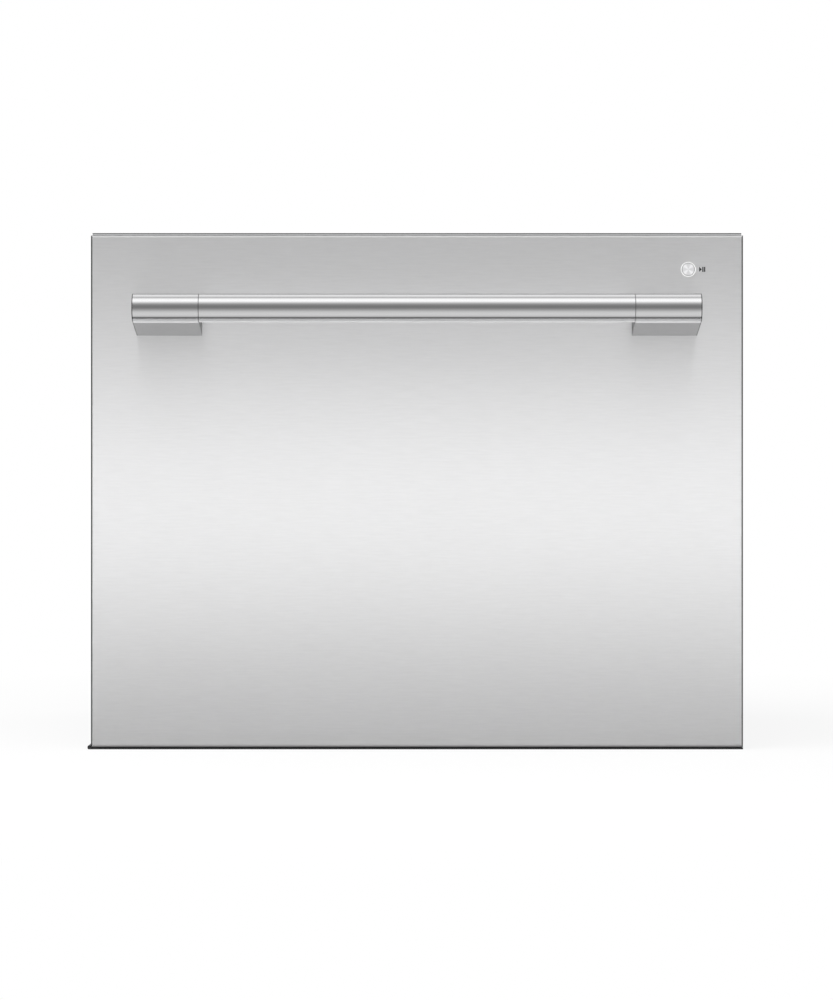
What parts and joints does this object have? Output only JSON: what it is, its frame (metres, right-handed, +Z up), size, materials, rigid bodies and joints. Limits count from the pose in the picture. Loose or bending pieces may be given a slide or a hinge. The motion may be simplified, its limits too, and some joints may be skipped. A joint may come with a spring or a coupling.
{
  "type": "dishwasher drawer",
  "caption": "Built-in dishwasher drawer: steel front with bar handle and start button, tub on runners with basket and spray arm, lid that seals it.",
  "frame": {"origin": "on the floor, under the middle of the drawer with its handle", "axes": "+X to the right of someone who faces the front, +Y to the back, +Z up"},
  "size_m": [0.6021, 0.636, 0.474],
  "materials": {
    "galvanised_sheet": "satin zinc-coated sheet",
    "black_plastic": "moulded black",
    "black_rubber": "soft black foam rubber",
    "zinc_steel": "bright zinc-plated steel",
    "dark_plastic": "moulded dark grey",
    "white_plastic": "moulded off-white",
    "lid_plastic": "moulded light grey",
    "grey_rubber": "soft grey silicone",
    "brushed_front": "fine horizontal brushing",
    "gloss_black": "gloss black window",
    "trim_silver": "satin silver-grey moulding",
    "board_green": "lacquered circuit board",
    "bright_metal": "turned and polished metal",
    "tub_plastic": "smooth moulded grey",
    "pale_plastic": "smooth moulded pale grey",
    "heater_steel": "heat-tinted steel",
    "filter_grey": "moulded mid grey",
    "filter_blue": "moulded blue grey",
    "coated_wire": "nylon-coated steel wire",
    "rack_plastic": "moulded rack grey"
  },
  "bodies": {
    "cabinet": {"base_tray": "galvanised_sheet", "side_panel_left": "galvanised_sheet", "side_panel_right": "galvanised_sheet", "rear_panel": "galvanised_sheet", "top_panel": "galvanised_sheet", "front_rail": "galvanised_sheet", "base_skids": "black_plastic", "drip_strip": "black_plastic", "door_gasket": "black_rubber", "cabinet_screws": "zinc_steel", "runner_outer_pair": "zinc_steel", "lid_actuators": "dark_plastic", "inlet_valve": "white_plastic", "drain_outlet": "dark_plastic", "power_box": "dark_plastic"},
    "lid": {"lid": "lid_plastic", "lid_seal": "grey_rubber", "lid_yokes": "lid_plastic"},
    "drawer": {"front_skin": "brushed_front", "front_frame": "dark_plastic", "control_strip": "trim_silver", "display_window": "gloss_black", "key_board": "board_green", "keypad": "grey_rubber", "handle_bar": "brushed_front", "handle_post_left": "brushed_front", "handle_post_right": "brushed_front", "handle_screws": "zinc_steel", "button_bezel": "bright_metal", "start_switch": "black_plastic", "tub": "tub_plastic", "runner_inner_pair": "zinc_steel", "runner_brackets": "zinc_steel", "motor_housing": "black_plastic", "heater_ring": "heater_steel", "filter_plate": "filter_grey", "spray_arm_cap": "dark_plastic", "controller_box": "white_plastic", "detergent_dispenser": "tub_plastic", "basket_floor": "coated_wire", "basket_uprights": "coated_wire", "basket_rims": "coated_wire", "basket_feet": "dark_plastic", "fixed_tines": "coated_wire", "tine_clips": "dark_plastic", "cutlery_basket": "rack_plastic"},
    "lid_pinions": {"lid_pinions": "white_plastic"},
    "middle_runners": {"runner_middle_pair": "zinc_steel"},
    "outer_cages": {"ball_cages_outer": "zinc_steel"},
    "inner_cages": {"ball_cages_inner": "zinc_steel"},
    "start_button": {"start_button": "bright_metal"},
    "wash_rotor": {"wash_rotor": "pale_plastic"},
    "drain_filter": {"drain_filter": "filter_blue"},
    "spray_arm": {"spray_arm": "filter_grey"},
    "detergent_flap": {"detergent_flap": "pale_plastic"},
    "rinse_aid_cap": {"rinse_aid_cap": "filter_blue"},
    "tines_left": {"folding_tines_left": "coated_wire"},
    "tines_right": {"folding_tines_right": "coated_wire"},
    "cup_rack_left": {"cup_rack_left": "rack_plastic"},
    "cup_rack_right": {"cup_rack_right": "rack_plastic"}
  },
  "joints": [
    {"name": "drawer_slide", "type": "slide", "parent": "cabinet", "child": "drawer", "axis": [0, -1, 0], "range_m": [0, 0.49]},
    {"name": "middle_runner_slide", "type": "slide", "parent": "cabinet", "child": "middle_runners", "axis": [0, -1, 0], "range_m": [0, 0.245]},
    {"name": "outer_cage_slide", "type": "slide", "parent": "cabinet", "child": "outer_cages", "axis": [0, -1, 0], "range_m": [0, 0.1225]},
    {"name": "inner_cage_slide", "type": "slide", "parent": "cabinet", "child": "inner_cages", "axis": [0, -1, 0], "range_m": [0, 0.3675]},
    {"name": "lid_slide", "type": "slide", "parent": "cabinet", "child": "lid", "axis": [0, 0, 1], "range_m": [-0.008, 0]},
    {"name": "lid_pinion_spin", "type": "hinge", "parent": "cabinet", "child": "lid_pinions", "pos_m": [0, 0.04435, 0.4253], "axis": [1, 0, 0], "range_deg": [0, 58]},
    {"name": "start_button_press", "type": "slide", "parent": "drawer", "child": "start_button", "axis": [0, 1, 0], "range_m": [0, 0.001], "stiffness_N_per_m": 600, "springref_m": -0.001},
    {"name": "wash_rotor_spin", "type": "hinge", "parent": "drawer", "child": "wash_rotor", "pos_m": [0, 0.033, 0.075], "axis": [0, 0, 1], "continuous": true},
    {"name": "spray_arm_spin", "type": "hinge", "parent": "drawer", "child": "spray_arm", "pos_m": [0, 0.033, 0.115], "axis": [0, 0, 1], "continuous": true},
    {"name": "drain_filter_turn", "type": "hinge", "parent": "drawer", "child": "drain_filter", "pos_m": [0.06942, -0.04973, 0.1], "axis": [0, 0, 1], "range_deg": [0, 45]},
    {"name": "detergent_flap_hinge", "type": "hinge", "parent": "drawer", "child": "detergent_flap", "pos_m": [-0.034, -0.191, 0.3345], "axis": [-1, 0, 0], "range_deg": [0, 100]},
    {"name": "rinse_aid_cap_turn", "type": "hinge", "parent": "drawer", "child": "rinse_aid_cap", "pos_m": [0.044, -0.1935, 0.363], "axis": [0, 1, 0], "range_deg": [0, 90]},
    {"name": "tines_left_fold", "type": "hinge", "parent": "drawer", "child": "tines_left", "pos_m": [-0.11, 0.033, 0.14995], "axis": [0, -1, 0], "range_deg": [0, 84]},
    {"name": "tines_right_fold", "type": "hinge", "parent": "drawer", "child": "tines_right", "pos_m": [0.11, 0.033, 0.14995], "axis": [0, 1, 0], "range_deg": [0, 84]},
    {"name": "cup_rack_left_fold", "type": "hinge", "parent": "drawer", "child": "cup_rack_left", "pos_m": [-0.24055, 0.033, 0.29], "axis": [0, -1, 0], "range_deg": [0, 90]},
    {"name": "cup_rack_right_fold", "type": "hinge", "parent": "drawer", "child": "cup_rack_right", "pos_m": [0.24055, 0.033, 0.29], "axis": [0, 1, 0], "range_deg": [0, 90]}
  ],
  "couplings": [
    {"joint": "middle_runner_slide", "follows": "drawer_slide", "ratio": 0.5},
    {"joint": "outer_cage_slide", "follows": "drawer_slide", "ratio": 0.25},
    {"joint": "inner_cage_slide", "follows": "drawer_slide", "ratio": 0.75},
    {"joint": "lid_pinion_spin", "follows": "lid_slide", "rad_per_m": -111.11}
  ]
}
